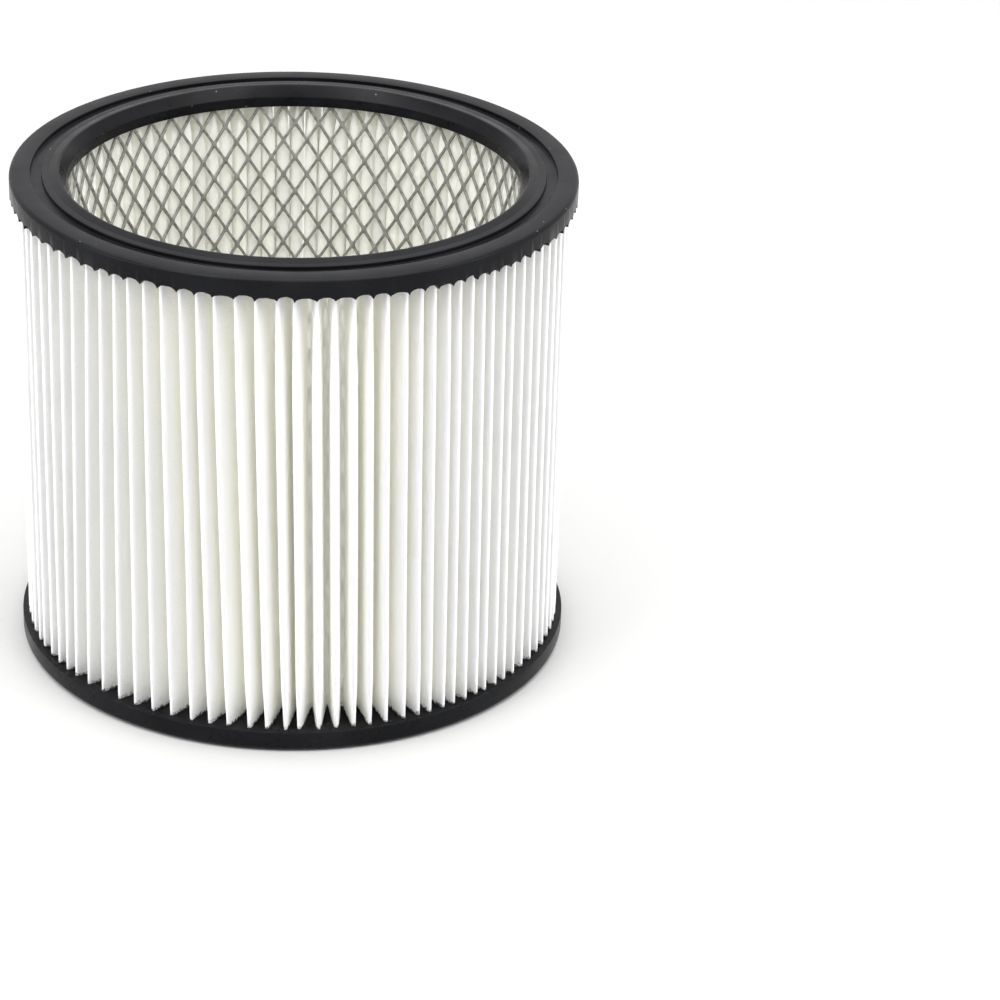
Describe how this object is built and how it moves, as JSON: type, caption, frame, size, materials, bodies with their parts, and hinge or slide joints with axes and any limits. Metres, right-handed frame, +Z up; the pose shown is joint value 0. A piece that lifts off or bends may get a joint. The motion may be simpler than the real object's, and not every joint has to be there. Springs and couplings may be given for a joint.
{
  "type": "vacuum cartridge filter",
  "caption": "Round pleated-paper cartridge filter with a soft black sealing ring at each end and an open expanded-steel core inside, for a canister vacuum.",
  "frame": {"origin": "centre of the lower sealing face's plane, at the bottom of the part", "axes": "+Z up along the axis of both holes, -Y towards the viewer of the picture, +X to the viewer's right"},
  "size_m": [0.2, 0.2, 0.1798],
  "materials": {
    "ring_rubber": "satin moulded, slightly mottled",
    "filter_paper": "matte fibrous",
    "core_steel": "dull galvanised"
  },
  "bodies": {
    "root": {"top_end_ring": "ring_rubber", "bottom_end_ring": "ring_rubber", "pleated_paper": "filter_paper", "support_core": "core_steel"}
  },
  "joints": []
}
